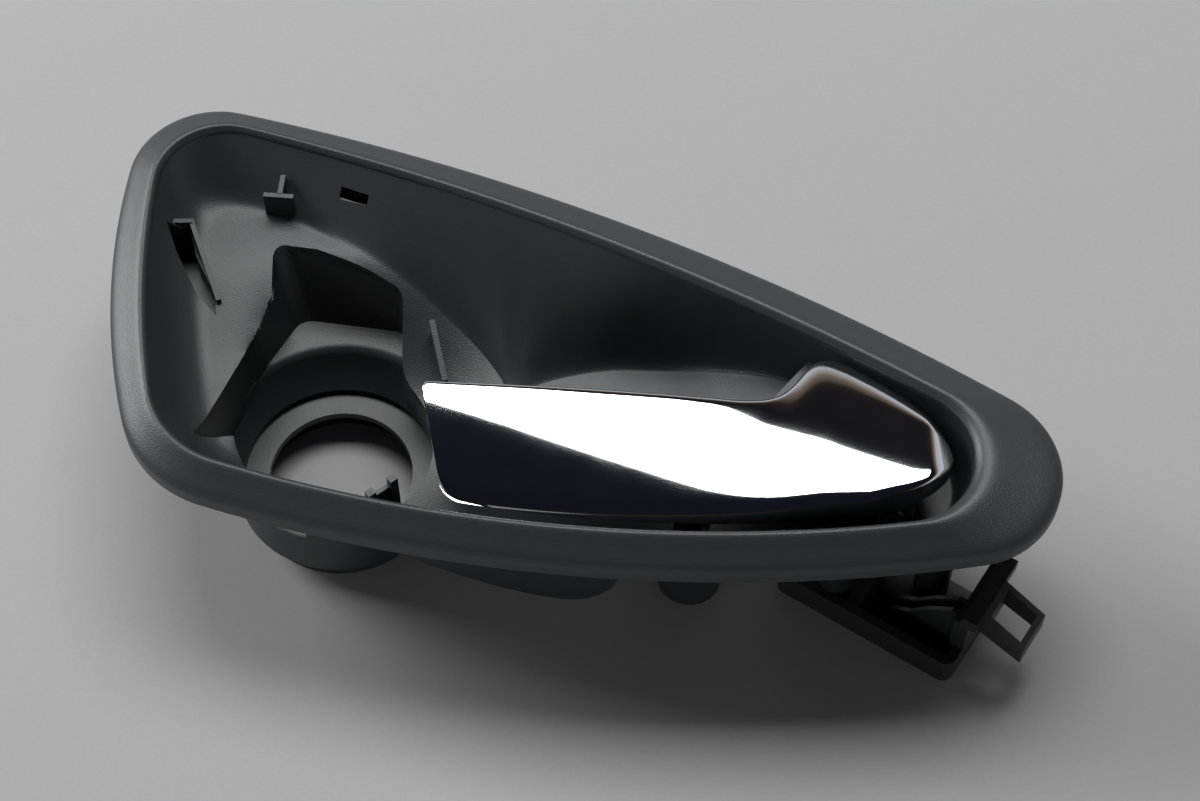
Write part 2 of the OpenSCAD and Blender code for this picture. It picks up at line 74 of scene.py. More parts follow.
def add_node(tree, kind, settings=None, **inputs):
    """Adds a node, sets its properties, and fills or links its inputs by name."""
    node = tree.nodes.new(kind)
    for key, value in (settings or {}).items():
        setattr(node, key, value)
    for key, value in inputs.items():
        socket = node.inputs[key.replace("_", " ")]
        if isinstance(value, bpy.types.NodeSocket):
            tree.links.new(value, socket)
        else:
            socket.default_value = value
    return node


def new_material(name):
    """An empty node material with its Principled shader."""
    material = bpy.data.materials.new(name)
    material.use_nodes = True
    return material, material.node_tree, material.node_tree.nodes["Principled BSDF"]


def cells(size_mm):
    """Scale of a noise whose cells are size_mm wide."""
    return 1 / (size_mm * MM)


# Card: an uncoated sheet, dull, with a faint mottle of its fibres about 1.1 mm wide
card, tree, shader = new_material("matt_grey_card")
position = add_node(tree, "ShaderNodeNewGeometry").outputs["Position"]
mottle = add_node(tree, "ShaderNodeTexNoise", Vector=position, Scale=cells(1.1111), Detail=3.0)
tint = add_node(tree, "ShaderNodeMix", {"data_type": "RGBA"}, Factor=mottle.outputs["Fac"],
                A=srgb("#a8a8a9"), B=srgb("#b0b0b1"))
tree.links.new(tint.outputs["Result"], shader.inputs["Base Color"])
shader.inputs["Roughness"].default_value = 0.85

TABLE_HALF = 3.0
table_corners = [(x * TABLE_HALF, y * TABLE_HALF, 0) for x, y in ((-1, -1), (1, -1), (1, 1), (-1, 1))]
mesh = bpy.data.meshes.new("table")
mesh.from_pydata(table_corners, [], [(0, 1, 2, 3)])
table = bpy.data.objects.new("table", mesh)
table.data.materials.append(card)
scene.collection.objects.link(table)


def soft_box(name, place, aim, size, power):
    """A rectangular lamp of size at place, both in mm, facing aim."""
    lamp = bpy.data.lights.new(name, "AREA")
    lamp.shape = "RECTANGLE"
    lamp.size, lamp.size_y = size[0] * MM, size[1] * MM
    lamp.energy = power
    holder = bpy.data.objects.new(name, lamp)
    holder.location = Vector(place) * MM
    holder.rotation_euler = (Vector(aim) * MM - holder.location).to_track_quat("-Z", "Y").to_euler()
    scene.collection.objects.link(holder)


soft_box("window", place=(-2200, 1150, 1400), aim=(0, 0, 0), size=(1300, 1000), power=58)
soft_box("panel", place=(30, 880, 1810), aim=(30, -30, 50), size=(1600, 800), power=29)

# The room: pale walls low down, brown above them and dark at the ceiling. Each entry gives a
# height, as the sine of its elevation, and a colour.
ROOM_WALLS = ((0.0, "#c8ccd0"), (0.3, "#b4b6b8"), (0.44, "#75695f"), (0.58, "#2c2622"), (0.7, "#17161a"))
CEILING = "#14161e"

world = bpy.data.worlds.new("room")
world.use_nodes = True
tree = world.node_tree
way = add_node(tree, "ShaderNodeTexCoord").outputs["Generated"]
direction = add_node(tree, "ShaderNodeSeparateXYZ", Vector=way)
walls = add_node(tree, "ShaderNodeValToRGB", Fac=direction.outputs["Z"])
for height, colour in ROOM_WALLS:
    walls.color_ramp.elements.new(height).color = srgb(colour)
walls.color_ramp.elements[-1].color = srgb(CEILING)
tree.links.new(walls.outputs["Color"], tree.nodes["Background"].inputs["Color"])
scene.world = world

# Bezel moulding
# The rim and the bowl are one ABS moulding, 2.2 mm thick. The rim is a teardrop of three
# corner arcs joined by three long arcs, and the bowl runs down from its inner edge. Clips
# and screws hold it in the door panel.

# ABS from a spark-eroded tool: dark grey, with a fine grain that breaks the light into a soft
# sheen. The real grain is about 0.1 mm wide and is drawn at 0.38 mm, so that it shows.
abs_plastic, tree, shader = new_material("grained_dark_grey_abs")
position = add_node(tree, "ShaderNodeTexCoord").outputs["Object"]
grain = add_node(tree, "ShaderNodeTexNoise", Vector=position, Scale=cells(0.38462), Detail=2.0)
tint = add_node(tree, "ShaderNodeMix", {"data_type": "RGBA"}, Factor=grain.outputs["Fac"],
                A=srgb("#292b2d"), B=srgb("#343638"))
bump = add_node(tree, "ShaderNodeBump", Strength=0.35, Distance=0.2 * MM, Height=grain.outputs["Fac"])
tree.links.new(tint.outputs["Result"], shader.inputs["Base Color"])
tree.links.new(bump.outputs["Normal"], shader.inputs["Normal"])
shader.inputs["Roughness"].default_value = 0.4
shader.inputs["IOR"].default_value = 1.53

# The outer and inner edges of the rim, each by its corner arcs (left far, left near, tip) and
# the radii of its sides (left, near, far)
OUTER = dict(
    centres=((-96.9, 51.5), (-82.4, -15.0), (96.0, -38.5)),
    radii=(22.6, 32.8, 24.8),
    sides=(196.4, 408.5, 646.0),
)
INNER = dict(
    centres=((-93.6, 47.2), (-80.2, -12.3), (79.6, -35.9)),
    radii=(17.0, 26.5, 19.2),
    sides=(259.4, 387.4, 712.3),
)
CREST = 56.0
WALL = 2.2
# Depths below the crest: where the bowl's skin starts, the foot of the rim's skirt, and the
# corner inside the skirt
ROLL = 1.9
SKIRT = 9.4
SKIRT_INSIDE = 6.1
# Cross-section of the rim from its foot to the bowl: share of the way in, and height from the crest
RIM_TOP = (
    (0, -SKIRT), (0, -7.5), (0, -5.7), (0.012, -5.0), (0.03, -4.55), (0.06, -4.2), (0.1, -3.85),
    (0.17, -3.4), (0.28, -2.8), (0.42, -2.1), (0.54, -1.42), (0.66, -0.75), (0.74, -0.3),
    (0.8, -0.06), (0.84, 0.0), (0.88, -0.1), (0.915, -0.34), (0.945, -0.68), (0.97, -1.08),
    (0.988, -1.5),
)
RIM_UNDER = ((0.3, -5.3), (0.62, -3.4), (0.8, -2.8))
# The bowl: its middle, its depth there and at the hinge tip, the widths of its left, far and
# tip walls, and how steeply each wall starts
BOWL_MIDDLE = np.array((-18.0, -6.0))
BOWL_DEPTH = 31.0
TIP_DEPTH = 21.0
LEFT_W, FAR_W, TIP_W = 15, 38, 5
LEFT_STEEP, FAR_STEEP, TIP_STEEP = 2.2, 1.4, 4
# The far wall takes at most this share of the way to the middle, or the skin would cross itself
FAR_W_SHARE = 0.84
# How far the floor rises again, as a share of the depth, at the left end and in the far scoop
LEFT_RISE, SCOOP_RISE = 0.42, 0.55
# Radius of the small circle about the middle that the floor's rings run towards
MIDDLE_R = 3


def side_centre(c1, r1, c2, r2, radius):
    """Centre of the long arc that touches two corner circles from outside."""
    c1, c2 = np.array(c1), np.array(c2)
    gap = np.linalg.norm(c2 - c1)
    a, b = radius - r1, radius - r2
    along = (a * a - b * b + gap * gap) / (2 * gap)
    u = (c2 - c1) / gap
    return c1 + u * along + np.array((-u[1], u[0])) * math.sqrt(a * a - along * along)


def angle_to(centre, point):
    """Direction from centre to point, in radians."""
    dx, dy = np.array(point) - centre
    return math.atan2(dy, dx)


def arc(centre, radius, a, b, count):
    """Points of an anticlockwise arc from angle a to angle b, without its last point."""
    span = (b - a) % (2 * math.pi)
    angles = [a + span * k / count for k in range(count)]
    return [centre + radius * np.array((math.cos(t), math.sin(t))) for t in angles]


def outline(shape, grow=0.0, corner_points=36, side_points=(24, 56, 60)):
    """Points of the closed teardrop, grown outwards by grow."""
    c, r, s = shape["centres"], shape["radii"], shape["sides"]
    mid = [side_centre(c[i], r[i], c[(i + 1) % 3], r[(i + 1) % 3], s[i]) for i in range(3)]
    start = [angle_to(mid[i], c[i]) for i in range(3)]
    end = [angle_to(mid[i], c[(i + 1) % 3]) for i in range(3)]
    points = []
    for i in range(3):
        j = (i + 1) % 3
        points += arc(mid[i], s[i] + grow, start[i], end[i], side_points[i])
        points += arc(np.array(c[j]), r[j] + grow, end[i], start[j], corner_points)
    return np.array(points)


def ramp(x, start, end):
    """Eases from 0 at start to 1 at end, and stays level beyond them."""
    t = min(1.0, max(0.0, (x - start) / (end - start)))
    return t * t * (3 - 2 * t)


def mix(a, b, t):
    """The value a share t of the way from a to b."""
    return a + (b - a) * t


def far_side(p):
    """1 on the far wall of the bowl, 0 on its left and near walls."""
    return ramp(p[1], 8, 34) * ramp(p[0], -112, -90)


def near_tip(p):
    """1 at the hinge tip of the bowl, 0 from its middle leftwards."""
    return ramp(p[0], 30, 80)


def floor_height(x, y=-20):
    """Height of the bowl's floor, which rises to the left, to the hinge tip and into a far scoop."""
    scoop = ramp(y, -6, 36) * ramp(x, -2, -60)
    left = mix(LEFT_RISE * ramp(x, -66, -90), SCOOP_RISE, scoop)
    return CREST - BOWL_DEPTH * (1 - left) + (BOWL_DEPTH - TIP_DEPTH) * ramp(x, 18, 58)


def wall_width(p):
    """Width of the bowl's wall under the inner edge point p."""
    far = min(FAR_W, FAR_W_SHARE * np.linalg.norm(BOWL_MIDDLE - p))
    return mix(mix(LEFT_W, far, far_side(p)), TIP_W, near_tip(p))


def bowl_point(p, share):
    """Point of the bowl under the inner edge point p: share 0 to 1 is its wall, 1 to 2 its floor."""
    inward = BOWL_MIDDLE - p
    reach = np.linalg.norm(inward)
    width = wall_width(p)
    e = width * share if share <= 1 else width + (reach - MIDDLE_R - width) * (share - 1)
    q = p + inward / reach * e
    power = mix(mix(LEFT_STEEP, FAR_STEEP, far_side(p)), TIP_STEEP, near_tip(p))
    fall = 1 - (1 - min(1.0, e / width)) ** power
    return (q[0], q[1], CREST - ROLL - (CREST - ROLL - floor_height(q[0], q[1])) * fall)


def offset_rings(rings, distance):
    """Rings of the upper surface moved down by distance along its own normals."""
    g = np.array(rings)
    along = np.roll(g, -1, 1) - np.roll(g, 1, 1)
    across = np.gradient(g, axis=0)
    n = np.cross(along, across)
    return g - distance * n / np.linalg.norm(n, axis=2, keepdims=True)


def mesh_object(name, points, faces, material):
    """A mesh from points in mm, with one material."""
    mesh = bpy.data.meshes.new(name)
    mesh.from_pydata([tuple(float(c) * MM for c in p) for p in points], [], faces)
    work = bmesh.new()
    work.from_mesh(mesh)
    bmesh.ops.recalc_face_normals(work, faces=work.faces)
    work.to_mesh(mesh)
    work.free()
    mesh.materials.append(material)
    obj = bpy.data.objects.new(name, mesh)
    scene.collection.objects.link(obj)
    return obj


def closed_skin(name, rings, first, last, material):
    """Skin over a stack of closed rings, with a point at each end."""
    n, m = len(rings[0]), len(rings)
    points = [first] + [p for ring in rings for p in ring] + [last]
    faces = [(0, 1 + (i + 1) % n, 1 + i) for i in range(n)]
    for low in range(1, 1 + (m - 1) * n, n):
        high = low + n
        faces += [(low + i, low + (i + 1) % n, high + (i + 1) % n, high + i) for i in range(n)]
    top = 1 + (m - 1) * n
    faces += [(top + i, top + (i + 1) % n, top + n) for i in range(n)]
    return mesh_object(name, points, faces, material)


outer_line, outer_inside, inner_line = outline(OUTER), outline(OUTER, -WALL), outline(INNER)


def rim_ring(share, drop):
    """A ring of the rim, a share of the way in from its outer edge, at drop from the crest."""
    flat = outer_line + (inner_line - outer_line) * share
    return [(x, y, CREST + drop) for x, y in flat]


# Rings of the bowl, closest together where its wall bends most
wall_shares = [0.0, 0.02, 0.05, 0.09, 0.14, 0.2, 0.27, 0.35, 0.43, 0.52, 0.61, 0.7, 0.8, 0.9, 1.0]
floor_shares = [1 + 0.94 * k / 16 for k in range(1, 17)]
bowl_rings = [[bowl_point(p, s) for p in inner_line] for s in wall_shares + floor_shares]
under_rings = [list(map(tuple, ring)) for ring in offset_rings(bowl_rings, WALL)][3::2]
lip = [[(x, y, CREST - drop) for x, y in outer_inside] for drop in (SKIRT, SKIRT_INSIDE)]
under = lip + [rim_ring(s, d) for s, d in RIM_UNDER] + under_rings
over = [rim_ring(s, d) for s, d in RIM_TOP] + bowl_rings
middle_floor = floor_height(BOWL_MIDDLE[0])
bezel = closed_skin("bezel_moulding", under[::-1] + over, (*BOWL_MIDDLE, middle_floor - WALL),
                    (*BOWL_MIDDLE, middle_floor), abs_plastic)


def finish_edges(obj, angle=32):
    """Smooth faces, with sharp edges where they meet at more than angle degrees."""
    obj.data.polygons.foreach_set("use_smooth", [True] * len(obj.data.polygons))
    obj.data.set_sharp_from_angle(angle=math.radians(angle))


def moulded_on(piece):
    """Finishes a part of the bezel moulding, which all stands for the CAD's one housing."""
    finish_edges(piece)
    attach(piece, "bezel")
    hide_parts("housing")


def carve(obj, tool, operation="DIFFERENCE", keep=False):
    """Applies a boolean between obj and tool, and deletes the tool unless it is kept."""
    modifier = obj.modifiers.new(operation.lower(), "BOOLEAN")
    modifier.operation, modifier.object, modifier.solver = operation, tool, "MANIFOLD"
    depsgraph = bpy.context.evaluated_depsgraph_get()
    result = bpy.data.meshes.new_from_object(obj.evaluated_get(depsgraph))
    obj.modifiers.clear()
    obj.data = result
    if not keep:
        bpy.data.objects.remove(tool)
    return obj


def revolve(name, profile, centre, material, segments=96, axis="Z"):
    """A solid turned from (radius, height) points about an axis through centre, in mm."""
    angles = [2 * math.pi * k / segments for k in range(segments)]
    rings = [[(r * math.cos(a), r * math.sin(a), h) for a in angles] for r, h in profile]
    turn = Matrix.Identity(3) if axis == "Z" else Matrix.Rotation(-math.pi / 2, 3, "X")
    place = Vector(centre)
    rings = [[tuple(turn @ Vector(p) + place) for p in ring] for ring in rings]
    ends = [tuple(turn @ Vector((0, 0, profile[k][1])) + place) for k in (0, -1)]
    return closed_skin(name, rings, ends[0], ends[1], material)


def rod(name, radius, low, high, place, material, axis="Z"):
    """A round rod from low to high along an axis through place."""
    return revolve(name, [(radius, low), (radius, high)], place, material, axis=axis)


def prism(name, low, high, z0, z1, material):
    """A solid between the polygon low at z0 and the polygon high at z1, anticlockwise from above."""
    n = len(low)
    points = [(x, y, z0) for x, y in low] + [(x, y, z1) for x, y in high]
    faces = [tuple(range(n))[::-1], tuple(range(n, 2 * n))]
    faces += [(k, (k + 1) % n, n + (k + 1) % n, n + k) for k in range(n)]
    return mesh_object(name, points, faces, material)


def block(name, size, place, turn, material):
    """A box of size with its corner at place, turned by turn degrees about its own corner."""
    c, s = math.cos(math.radians(turn)), math.sin(math.radians(turn))
    flat = [(0, 0), (size[0], 0), (size[0], size[1]), (0, size[1])]
    ground = [(place[0] + c * x - s * y, place[1] + s * x + c * y) for x, y in flat]
    return prism(name, ground, ground, place[2], place[2] + size[2], material)


# Speaker pocket
# The left of the bowl opens into a deep pocket for a small speaker: near-vertical walls,
# a shelf, a funnel, a flat ring to mount it on and a round hole. It is moulded with the bezel.
SPEAKER = (-62.7, -15.7)
SPEAKER_R = 19.0
RING_W = 6.4
RING_Z = 10.0
SHELF_Z = 22.0
POCKET_TOP = CREST - 4
# The funnel widens by FLARE from the ring to the shelf, and rolls over into the shelf
FLARE = 5.6
FUNNEL_ROLL = 3.0
# Below the ring the cup ends in a skirt, which stands on the table and is hollow to RECESS_R
CUP_SKIRT_R = 24.5
RECESS_R = 22
# The pocket's outline at the shelf and 20 mm above it, and the radius of each corner
POCKET_LOW = (
    (-82, 12.5), (-87.5, 2), (-96, -21), SPEAKER, (-40.5, -4), (-46.3, 5), (-46.3, 21.6), (-74.5, 25.7),
)
POCKET_HIGH = (
    (-83, 14), (-88.5, 0), (-98, -23), SPEAKER, (-40.5, -4), (-46, 5), (-46, 26.3), (-80, 37),
)
POCKET_ROUND = (6, 3, 3, 1, 1, 4, 3, 4)
POCKET_HIGH_Z = CREST - 14
POCKET_MIDDLE = np.array((-66.0, 4.0))
# A corner moves out further than the walls beside it
CORNER_GROW = 1.25
# The window in the near wall of the cup
NEAR_WINDOW = (15.5, 14.5, 4)
NEAR_WINDOW_AT = (SPEAKER[0] - 21.8, SPEAKER[1] - SPEAKER_R - 13, SHELF_Z + 1.5)


def rounded(corners, radii, points=7):
    """A polygon with each corner turned into a curve that starts a radius before it."""
    line = []
    for k, (x, y) in enumerate(corners):
        here = np.array((x, y), float)
        before, after = (np.array(corners[(k + s) % len(corners)], float) for s in (-1, 1))
        a = here + (before - here) / np.linalg.norm(before - here) * radii[k]
        b = here + (after - here) / np.linalg.norm(after - here) * radii[k]
        for t in (i / (points - 1) for i in range(points)):
            line.append(tuple((1 - t) ** 2 * a + 2 * t * (1 - t) * here + t * t * b))
    return line


def pocket_side(grow, foot=SHELF_Z):
    """The far and left part of the pocket, wider at the top, from the height foot up."""
    z0, z1 = foot - grow, POCKET_TOP

    def line(z):
        share = (z - SHELF_Z) / (POCKET_HIGH_Z - SHELF_Z)
        flat = [mix(np.array(a), np.array(b), share) for a, b in zip(POCKET_LOW, POCKET_HIGH)]
        ways = [p - POCKET_MIDDLE for p in flat]
        grown = [p + w / np.linalg.norm(w) * grow * CORNER_GROW for p, w in zip(flat, ways)]
        return rounded(grown, POCKET_ROUND)

    return prism("pocket_side", line(z0), line(z1), z0, z1, abs_plastic)


def speaker_cup(grow):
    """The round part of the pocket: a straight cup, and the funnel on its far and left sides."""
    r = SPEAKER_R + RING_W + grow
    base, foot = RING_Z - grow, RING_Z - grow + 1
    cup = rod("cup", r, base, POCKET_TOP, (*SPEAKER, 0), abs_plastic)
    profile = [(r - 0.8, foot)]
    profile += [(r + FLARE * t, foot + (SHELF_Z - foot - FUNNEL_ROLL) * t) for t in (0.4, 0.8)]
    for a in (math.radians(15 * k) for k in range(1, 7)):
        out, down = FUNNEL_ROLL * (1 - math.cos(a)), FUNNEL_ROLL * (1 - math.sin(a))
        profile.append((r + FLARE + out, SHELF_Z - down))
    profile.append((profile[-1][0], POCKET_TOP))
    funnel = revolve("funnel", profile, (*SPEAKER, 0), abs_plastic)
    carve(funnel, pocket_side(grow, RING_Z), "INTERSECT")
    return carve(cup, funnel, "UNION")


# All space below the middle of the bowl's skin. Pieces that join the bowl from above or below
# are cut with it, so that they end inside the skin.
SKIN_MIDDLE = 0.55 * WALL
SPACE_OUTSIDE = ((0.5, -CREST - 5), (0.5, -2 - SKIN_MIDDLE), (0.93, -2.2 - SKIN_MIDDLE))
middle_skin = [[(x, y, z - SKIN_MIDDLE) for x, y, z in ring] for ring in bowl_rings]
space_rings = [rim_ring(s, d) for s, d in SPACE_OUTSIDE]
below_bowl = closed_skin("below_bowl", space_rings + middle_skin, (*BOWL_MIDDLE, -5),
                         (*BOWL_MIDDLE, middle_floor - SKIN_MIDDLE), abs_plastic)

pocket = carve(pocket_side(WALL), speaker_cup(WALL), "UNION")
carve(pocket, below_bowl, "INTERSECT", keep=True)
carve(pocket, rod("skirt", CUP_SKIRT_R, 0, RING_Z - 1, (*SPEAKER, 0), abs_plastic), "UNION")
hollow = carve(pocket_side(0), speaker_cup(0), "UNION")
carve(pocket, hollow, keep=True)
carve(bezel, hollow)
carve(pocket, rod("recess", RECESS_R, -1, RING_Z - WALL, (*SPEAKER, 0), abs_plastic))
carve(pocket, rod("hole", SPEAKER_R, -2, RING_Z + 2, (*SPEAKER, 0), abs_plastic))
carve(pocket, block("window", NEAR_WINDOW, NEAR_WINDOW_AT, 0, abs_plastic))
pocket.name = "speaker_pocket"
moulded_on(pocket)

# Speaker snap tab
# Two posts and a web stand at the near edge of the speaker's hole and hold its rim. They are
# moulded with the ring.
TAB_TURN = -52
TAB_FROM_AXIS = SPEAKER_R + 0.6
TAB_POST = (2.0, 2.2, 23)
TAB_WEB = (1.2, 6, 20)
# Each part of the tab, with its size and its place along the edge of the hole
TAB_PARTS = (("tab_left", TAB_POST, -4.2), ("tab_web", TAB_WEB, -2.5), ("tab_right", TAB_POST, 2.6))

c, s = math.cos(math.radians(TAB_TURN)), math.sin(math.radians(TAB_TURN))
for name, size, shift in TAB_PARTS:
    x = SPEAKER[0] + TAB_FROM_AXIS * c - shift * s
    y = SPEAKER[1] + TAB_FROM_AXIS * s + shift * c
    moulded_on(block(name, size, (x, y, RING_Z - 1), TAB_TURN, abs_plastic))

# Clip slots
# The door panel's clips hook into two slots of the bowl: one high on the far wall, and a
# leaf-shaped one on the left. Each opens into a small closed box moulded behind the skin.
FAR_SLOT_TURN = -18
FAR_SLOT = (8, 6, 2.6)
FAR_SLOT_AT = (-63.5, 47, CREST - 8.5)
FAR_BOX = (10.5, 7.2, 5.2)
FAR_BOX_AT = (-64.4, 48, CREST - 9.8)
CLIP_LEAF = (
    (-108.3, 38.6), (-105.6, 31.3), (-99.6, 20.2), (-94.6, 15), (-95.2, 21), (-100.9, 32),
    (-103, 39.6),
)
# Steps from the leaf's corners to those of its box
LEAF_WALL = ((-1.6, 1.4), (-1.6, -0.6), (-1.4, -1), (1.4, -1.6), (1.6, 0.6), (1.6, 0.6), (1.6, 1.6))
LEAF_LOW, LEAF_HIGH = 34, 60
LEAF_FLOOR = 1.5

leaf_outside = [(x + dx, y + dy) for (x, y), (dx, dy) in zip(CLIP_LEAF, LEAF_WALL)]
far_slot = block("far_slot", FAR_SLOT, FAR_SLOT_AT, FAR_SLOT_TURN, abs_plastic)
far_box = block("far_slot_box", FAR_BOX, FAR_BOX_AT, FAR_SLOT_TURN, abs_plastic)
leaf_slot = prism("leaf_slot", CLIP_LEAF, CLIP_LEAF, LEAF_LOW, LEAF_HIGH, abs_plastic)
leaf_box = prism("leaf_slot_box", leaf_outside, leaf_outside, LEAF_LOW - LEAF_FLOOR, LEAF_HIGH, abs_plastic)
for cutter, box in ((far_slot, far_box), (leaf_slot, leaf_box)):
    carve(box, below_bowl, "INTERSECT", keep=True)
    carve(box, cutter, keep=True)
    carve(bezel, cutter)
    moulded_on(box)

# Hinge lugs
# Two round-topped lugs stand on the bowl's floor at the tip and hold the ends of the hinge pin.
# They are moulded with the bezel, and the floor is open between them for the cable arm.

# Middle of the hinge pin, and how far its axis is turned from Y
HINGE = (82.0, -35.0, 43.0)
HINGE_TURN = -16
HINGE_FRAME = Matrix.Translation(Vector(HINGE) * MM) @ Matrix.Rotation(math.radians(HINGE_TURN), 4, "Z")
PIN_R = 2.5
LUG_Y = (-11.9, 9.7)
LUG_T = 3.4
LUG_R = 5.2
LUG_FOOT = HINGE[2] - floor_height(HINGE[0]) + 1.5
ARM_OPENING = (20, 6, 22)
ARM_OPENING_AT = (-12.5, 4.2, -23)

for name, y in zip(("near_lug", "far_lug"), LUG_Y):
    lug = rod(name, LUG_R, 0, LUG_T, (0, y, 0), abs_plastic, axis="Y")
    foot = block("foot", (2 * LUG_R, LUG_T, LUG_FOOT), (-LUG_R, y, -LUG_FOOT), 0, abs_plastic)
    carve(lug, foot, "UNION")
    carve(lug, rod("bore", PIN_R, -1, 5, (0, y, 0), abs_plastic, axis="Y"))
    lug.data.transform(HINGE_FRAME)
    moulded_on(lug)
arm_opening = block("arm_opening", ARM_OPENING, ARM_OPENING_AT, 0, abs_plastic)
arm_opening.data.transform(HINGE_FRAME)
carve(bezel, arm_opening)


# Ribs and near screen
# An upright rib stands by the lever, two clip ribs stand in the left of the bowl, and a ledge
# lies under the lever's hump. A thin screen hangs below the near rim. All are moulded with
# the bezel.
def plate(name, a, b, thickness, low, high, material):
    """An upright plate from a to b; low and high give its lower and upper heights at both ends."""
    a, b = np.array(a, float), np.array(b, float)
    side = np.array((a[1] - b[1], b[0] - a[0])) / np.linalg.norm(b - a) * thickness / 2
    points = []
    for heights in (low, high):
        points += [(*(end + s * side), z) for end, z in zip((a, b), heights) for s in (-1, 1)]
    faces = [(0, 1, 3, 2), (4, 5, 7, 6), (0, 1, 5, 4), (2, 3, 7, 6), (0, 2, 6, 4), (1, 3, 7, 5)]
    return mesh_object(name, points, faces, material)


RIB_T = 1.5
CLIP_T = 1.3
LEDGE_FROM_HINGE = ((3, 16.5), (4, 19), (-4, 25), (-12, 29), (-22, 33), (-36, 16.5))
LEDGE_Z = (HINGE[2] - 10, HINGE[2] + 1.6)

ledge = [(HINGE[0] + x, HINGE[1] + y) for x, y in LEDGE_FROM_HINGE]
ribs = [
    plate("floor_rib", (-38.2, 15.4), (-34.4, -1), RIB_T,
          (CREST - 26, CREST - 34), (CREST - 18.5, CREST - 22.5), abs_plastic),
    block("far_clip_bar", (8, CLIP_T, 11), (-83.4, 46.4, CREST - 17), -5, abs_plastic),
    block("far_clip_stem", (CLIP_T, 6.4, 11), (-79.7, 47.1, CREST - 17), -5, abs_plastic),
    plate("left_clip_bar", (-110, 39.4), (-102, 41), CLIP_T,
          (CREST - 18, CREST - 18), (CREST - 7.5, CREST - 9.5), abs_plastic),
    plate("left_clip_leaf", (-102.6, 41.4), (-94, 18.6), CLIP_T,
          (CREST - 18, CREST - 20), (CREST - 9.5, CREST - 14), abs_plastic),
    prism("lever_ledge", ledge, ledge, *LEDGE_Z, abs_plastic),
]
for rib in ribs:
    carve(rib, below_bowl, keep=True)
    moulded_on(rib)

# Points of the screen's foot: place along the handle, and height
SCREEN_FOOT = (
    (-50, 26), (-43, 21.8), (-31, 17), (-20, 13.4), (-10, 11), (-3, 10.4), (0, 10.8), (3, 12),
    (6, 14.4), (9, 18), (12, 27),
)
SCREEN_TOP = CREST - 6
# Distances of the screen's two faces in from the near inner edge of the rim
SCREEN_FACES = (2.6, 4.6)
NEAR_CENTRE = side_centre(INNER["centres"][1], INNER["radii"][1],
                          INNER["centres"][2], INNER["radii"][2], INNER["sides"][1])


def near_arc(x, inside):
    """Y of the arc that runs inside the near inner edge of the rim, at a distance of inside."""
    return NEAR_CENTRE[1] - math.sqrt((INNER["sides"][1] - inside) ** 2 - (x - NEAR_CENTRE[0]) ** 2)


screen_rings = []
for x in np.linspace(SCREEN_FOOT[0][0], SCREEN_FOOT[-1][0], 63):
    foot = float(np.interp(x, *zip(*SCREEN_FOOT)))
    y0, y1 = (near_arc(x, d) for d in SCREEN_FACES)
    screen_rings.append([(x, y0, foot), (x, y0, SCREEN_TOP), (x, y1, SCREEN_TOP), (x, y1, foot)])
screen_ends = [tuple(np.mean(screen_rings[k], axis=0)) for k in (0, -1)]
near_screen = closed_skin("near_screen", screen_rings, *screen_ends, abs_plastic)
carve(near_screen, below_bowl, "INTERSECT", keep=True)
moulded_on(near_screen)

# Fixing posts and bosses
# Two posts behind the bowl take the panel's screws, two bosses take the bracket's screws, and
# a short post holds the lever's bump stop. All are moulded with the bezel.
BRACKET_CORNER = np.array((95.3, -70.7))
BRACKET_TURN = math.radians(-33)


def on_bracket(u, v):
    """Place of a point of the bracket's own turned frame."""
    c, s = math.cos(BRACKET_TURN), math.sin(BRACKET_TURN)
    return BRACKET_CORNER + u * np.array((c, s)) + v * np.array((-s, c))


BOSS_Z = 25.0
BOSS_R = 4.65
BOSS_BORE_R = 1.75
BOSS_BORE_TOP = BOSS_Z + 9
SCREW_UV = ((-37, 5), (-16, 20))
POST_BORE_R = 2.5
NEAR_POST = (29.6, -41)
NEAR_POST_R = 8.5
FAR_POST = (6, 8)
FAR_POST_R = 6.5
FAR_BORE_TOP = 16
# The near post's screw goes in from the bowl, and its head lies in a pit down to SCREW_HEAD_Z
SCREW_HEAD_R = 4.7
SCREW_HEAD_Z = floor_height(NEAR_POST[0]) - 3.2
ABOVE_ALL = 60
STOP_AT = (58, -36)
STOP_R = 4
STOP_BORE_R = 1.6

posts = []
for name, place, radius, foot, bore_r, bore_top in (
    ("near_post", NEAR_POST, NEAR_POST_R, 0, POST_BORE_R, ABOVE_ALL),
    ("far_post", FAR_POST, FAR_POST_R, 0, POST_BORE_R, FAR_BORE_TOP),
    ("first_boss", on_bracket(*SCREW_UV[0]), BOSS_R, BOSS_Z, BOSS_BORE_R, BOSS_BORE_TOP),
    ("second_boss", on_bracket(*SCREW_UV[1]), BOSS_R, BOSS_Z, BOSS_BORE_R, BOSS_BORE_TOP),
):
    post = rod(name, radius, foot, CREST - 6, (*place, 0), abs_plastic)
    carve(post, below_bowl, "INTERSECT", keep=True)
    carve(post, rod("bore", bore_r, foot - 1, bore_top, (*place, 0), abs_plastic))
    posts.append(post)
stepped = [
    (POST_BORE_R, -1), (POST_BORE_R, SCREW_HEAD_Z), (SCREW_HEAD_R, SCREW_HEAD_Z),
    (SCREW_HEAD_R, ABOVE_ALL),
]
for piece in (bezel, posts[0]):
    carve(piece, revolve("bore", stepped, (*NEAR_POST, 0), abs_plastic))
stop_foot = floor_height(STOP_AT[0]) - 1
stop_post = rod("stop_post", STOP_R, stop_foot, HINGE[2] - 1.5, (*STOP_AT, 0), abs_plastic)
carve(stop_post, rod("bore", STOP_BORE_R, HINGE[2] - 6.5, HINGE[2] + 1, (*STOP_AT, 0), abs_plastic))
